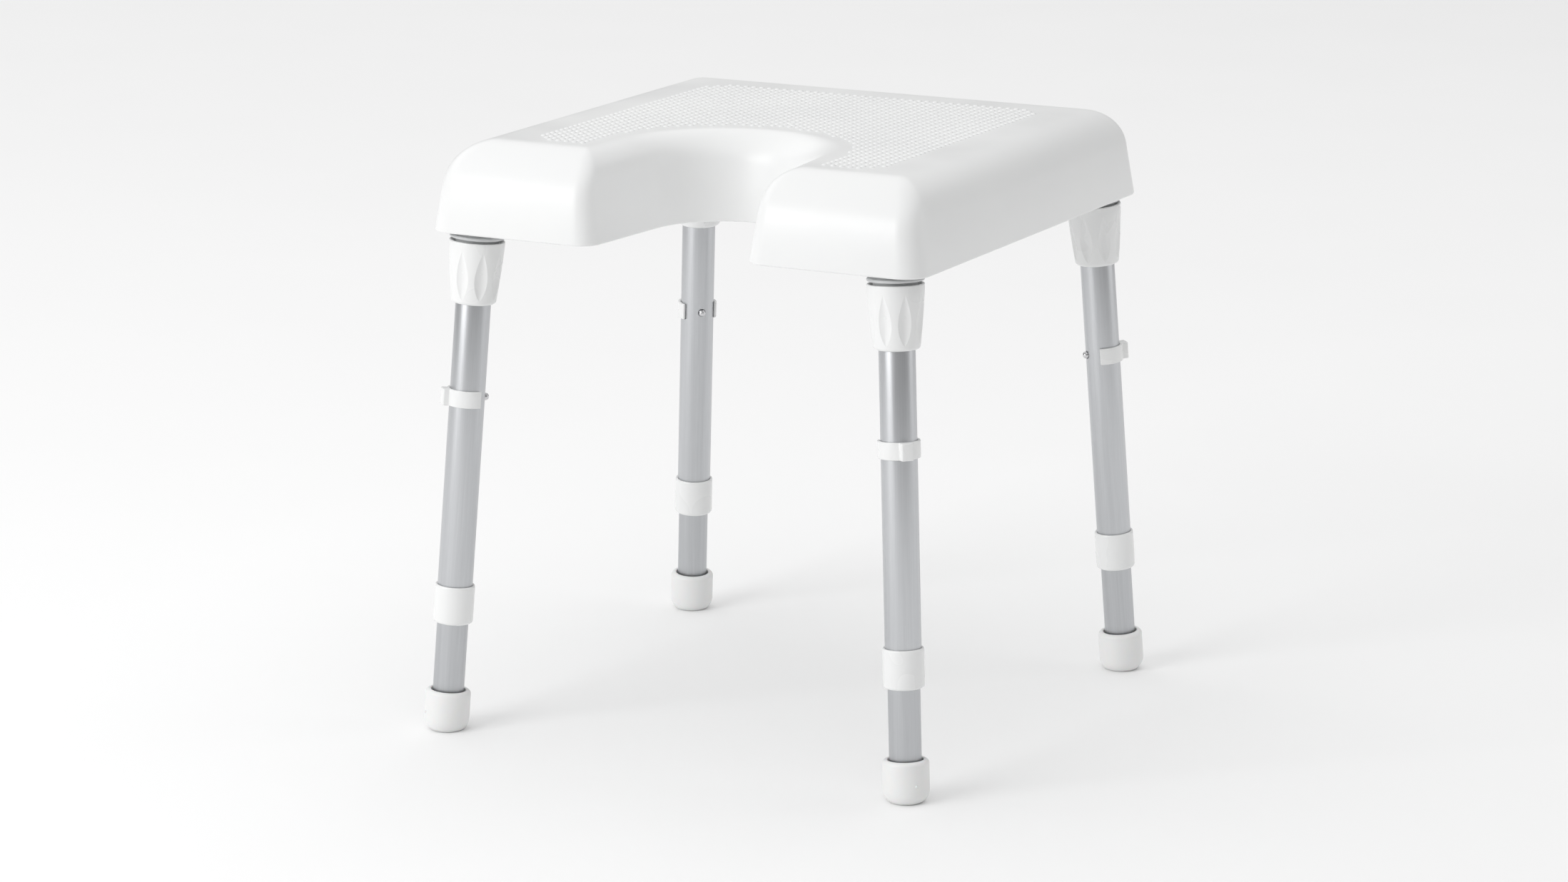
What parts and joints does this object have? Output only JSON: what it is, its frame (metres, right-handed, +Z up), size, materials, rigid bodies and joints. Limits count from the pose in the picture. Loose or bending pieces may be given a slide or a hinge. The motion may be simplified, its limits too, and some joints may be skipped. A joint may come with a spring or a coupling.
{
  "type": "shower stool",
  "caption": "Square shower stool with a front hygiene cut-out and a non-slip top, on four splayed telescopic legs with pin clips, hand nuts and rubber feet.",
  "frame": {"origin": "on the floor, under the middle of the stool", "axes": "+Z up; the seat's cut-out faces -Y, which is the front; +X is to the right of someone looking at the front"},
  "size_m": [0.4462, 0.4462, 0.475],
  "materials": {
    "seat_plastic": "moulded white polypropylene, smooth walls and a fine non-slip net on top",
    "socket_plastic": "grey moulded nylon",
    "grip_plastic": "natural nylon",
    "nut_plastic": "white moulded plastic",
    "outer_aluminium": "satin anodised drawn tube",
    "inner_aluminium": "satin anodised drawn tube",
    "sleeve_plastic": "white moulded plastic",
    "glide_plastic": "black nylon",
    "clip_plastic": "white springy acetal",
    "pin_steel": "bright stainless steel",
    "foot_rubber": "white non-marking rubber",
    "steel": "zinc plated"
  },
  "bodies": {
    "stool_frame": {"seat_shell": "seat_plastic", "front_left_leg_socket": "socket_plastic", "front_left_socket_screw": "steel", "front_left_outer_tube": "outer_aluminium", "front_left_guide_sleeve": "sleeve_plastic", "front_right_leg_socket": "socket_plastic", "front_right_socket_screw": "steel", "front_right_outer_tube": "outer_aluminium", "front_right_guide_sleeve": "sleeve_plastic", "rear_left_leg_socket": "socket_plastic", "rear_left_socket_screw": "steel", "rear_left_outer_tube": "outer_aluminium", "rear_left_guide_sleeve": "sleeve_plastic", "rear_right_leg_socket": "socket_plastic", "rear_right_socket_screw": "steel", "rear_right_outer_tube": "outer_aluminium", "rear_right_guide_sleeve": "sleeve_plastic"},
    "front_left_lower_leg": {"front_left_inner_tube": "inner_aluminium", "front_left_tube_glide": "glide_plastic", "front_left_foot": "foot_rubber", "front_left_foot_washer": "steel"},
    "front_left_clip": {"front_left_lock_pin": "pin_steel", "front_left_height_clip": "clip_plastic"},
    "front_left_grip": {"front_left_grip_ring": "grip_plastic"},
    "front_left_nut": {"front_left_clamp_nut": "nut_plastic"},
    "front_right_lower_leg": {"front_right_inner_tube": "inner_aluminium", "front_right_tube_glide": "glide_plastic", "front_right_foot": "foot_rubber", "front_right_foot_washer": "steel"},
    "front_right_clip": {"front_right_lock_pin": "pin_steel", "front_right_height_clip": "clip_plastic"},
    "front_right_grip": {"front_right_grip_ring": "grip_plastic"},
    "front_right_nut": {"front_right_clamp_nut": "nut_plastic"},
    "rear_left_lower_leg": {"rear_left_inner_tube": "inner_aluminium", "rear_left_tube_glide": "glide_plastic", "rear_left_foot": "foot_rubber", "rear_left_foot_washer": "steel"},
    "rear_left_clip": {"rear_left_lock_pin": "pin_steel", "rear_left_height_clip": "clip_plastic"},
    "rear_left_grip": {"rear_left_grip_ring": "grip_plastic"},
    "rear_left_nut": {"rear_left_clamp_nut": "nut_plastic"},
    "rear_right_lower_leg": {"rear_right_inner_tube": "inner_aluminium", "rear_right_tube_glide": "glide_plastic", "rear_right_foot": "foot_rubber", "rear_right_foot_washer": "steel"},
    "rear_right_clip": {"rear_right_lock_pin": "pin_steel", "rear_right_height_clip": "clip_plastic"},
    "rear_right_grip": {"rear_right_grip_ring": "grip_plastic"},
    "rear_right_nut": {"rear_right_clamp_nut": "nut_plastic"}
  },
  "joints": [
    {"name": "front_left_height", "type": "slide", "parent": "stool_frame", "child": "front_left_lower_leg", "axis": [-0.057, -0.057, -0.9967], "range_m": [-0.05, 0.1]},
    {"name": "front_left_clip_pull", "type": "slide", "parent": "stool_frame", "child": "front_left_clip", "axis": [-0.7048, -0.7048, 0.0806], "range_m": [0, 0.045], "deforming": ["front_left_height_clip"]},
    {"name": "front_left_grip_travel", "type": "slide", "parent": "stool_frame", "child": "front_left_grip", "axis": [-0.057, -0.057, -0.9967], "range_m": [0, 0.006]},
    {"name": "front_left_nut_turn", "type": "hinge", "parent": "front_left_grip", "child": "front_left_nut", "pos_m": [-0.18423, -0.18423, 0.37179], "axis": [-0.057, -0.057, -0.9967], "range_deg": [0, 540]},
    {"name": "front_right_height", "type": "slide", "parent": "stool_frame", "child": "front_right_lower_leg", "axis": [0.057, -0.057, -0.9967], "range_m": [-0.05, 0.1]},
    {"name": "front_right_clip_pull", "type": "slide", "parent": "stool_frame", "child": "front_right_clip", "axis": [0.7048, -0.7048, 0.0806], "range_m": [0, 0.045], "deforming": ["front_right_height_clip"]},
    {"name": "front_right_grip_travel", "type": "slide", "parent": "stool_frame", "child": "front_right_grip", "axis": [0.057, -0.057, -0.9967], "range_m": [0, 0.006]},
    {"name": "front_right_nut_turn", "type": "hinge", "parent": "front_right_grip", "child": "front_right_nut", "pos_m": [0.18423, -0.18423, 0.37179], "axis": [0.057, -0.057, -0.9967], "range_deg": [0, 540]},
    {"name": "rear_left_height", "type": "slide", "parent": "stool_frame", "child": "rear_left_lower_leg", "axis": [-0.057, 0.057, -0.9967], "range_m": [-0.05, 0.1]},
    {"name": "rear_left_clip_pull", "type": "slide", "parent": "stool_frame", "child": "rear_left_clip", "axis": [-0.7048, 0.7048, 0.0806], "range_m": [0, 0.045], "deforming": ["rear_left_height_clip"]},
    {"name": "rear_left_grip_travel", "type": "slide", "parent": "stool_frame", "child": "rear_left_grip", "axis": [-0.057, 0.057, -0.9967], "range_m": [0, 0.006]},
    {"name": "rear_left_nut_turn", "type": "hinge", "parent": "rear_left_grip", "child": "rear_left_nut", "pos_m": [-0.18423, 0.18423, 0.37179], "axis": [-0.057, 0.057, -0.9967], "range_deg": [0, 540]},
    {"name": "rear_right_height", "type": "slide", "parent": "stool_frame", "child": "rear_right_lower_leg", "axis": [0.057, 0.057, -0.9967], "range_m": [-0.05, 0.1]},
    {"name": "rear_right_clip_pull", "type": "slide", "parent": "stool_frame", "child": "rear_right_clip", "axis": [0.7048, 0.7048, 0.0806], "range_m": [0, 0.045], "deforming": ["rear_right_height_clip"]},
    {"name": "rear_right_grip_travel", "type": "slide", "parent": "stool_frame", "child": "rear_right_grip", "axis": [0.057, 0.057, -0.9967], "range_m": [0, 0.006]},
    {"name": "rear_right_nut_turn", "type": "hinge", "parent": "rear_right_grip", "child": "rear_right_nut", "pos_m": [0.18423, 0.18423, 0.37179], "axis": [0.057, 0.057, -0.9967], "range_deg": [0, 540]}
  ],
  "couplings": [
    {"joint": "front_left_grip_travel", "follows": "front_left_nut_turn", "m_per_rad": 0.00063656},
    {"joint": "front_right_grip_travel", "follows": "front_right_nut_turn", "m_per_rad": 0.00063656},
    {"joint": "rear_left_grip_travel", "follows": "rear_left_nut_turn", "m_per_rad": 0.00063656},
    {"joint": "rear_right_grip_travel", "follows": "rear_right_nut_turn", "m_per_rad": 0.00063656}
  ]
}
